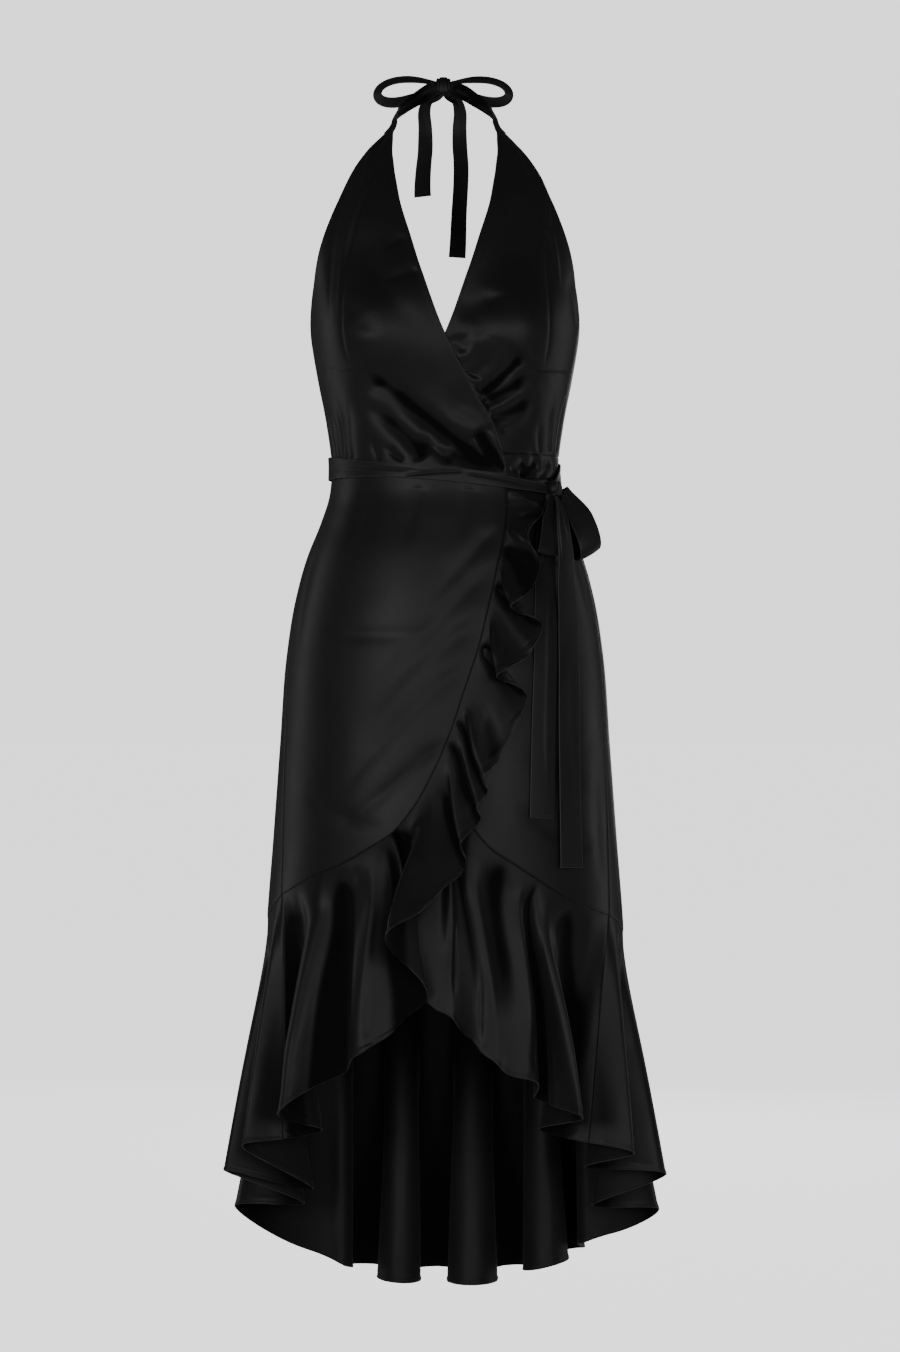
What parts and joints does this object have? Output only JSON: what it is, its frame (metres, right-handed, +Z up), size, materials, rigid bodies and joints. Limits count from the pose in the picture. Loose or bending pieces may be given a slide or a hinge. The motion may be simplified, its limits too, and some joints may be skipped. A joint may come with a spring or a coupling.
{
  "type": "wrap dress",
  "caption": "Satin halter wrap dress with a sash, and a flounce that cascades down the wrap edge into a hem longer at the back, filled out as worn.",
  "frame": {"origin": "the nape of the wearer's neck, where the halter's ties meet at their knot and hold the dress up", "axes": "+Z up, -Y towards the front of the dress, +X towards the wearer's left"},
  "size_m": [0.501, 0.3963, 1.4063],
  "materials": {
    "satin": "soft black satin with a low sheen"
  },
  "bodies": {
    "root": {"front_right_bodice": "satin", "front_left_bodice": "satin", "back_bodice": "satin", "waistband_front_left": "satin", "waistband_back": "satin", "skirt_front_right": "satin", "skirt_front_left": "satin", "skirt_back": "satin", "flounce_front_right": "satin", "flounce_front_left": "satin", "flounce_back": "satin", "waist_tie": "satin", "waist_knot": "satin", "waist_loop_left": "satin", "waist_loop_right": "satin", "waist_tail_short": "satin", "waist_tail_long": "satin", "neck_tie_left": "satin", "neck_tie_right": "satin", "neck_knot": "satin", "neck_loop_left": "satin", "neck_loop_right": "satin", "neck_tail_left": "satin", "neck_tail_right": "satin"}
  },
  "joints": []
}
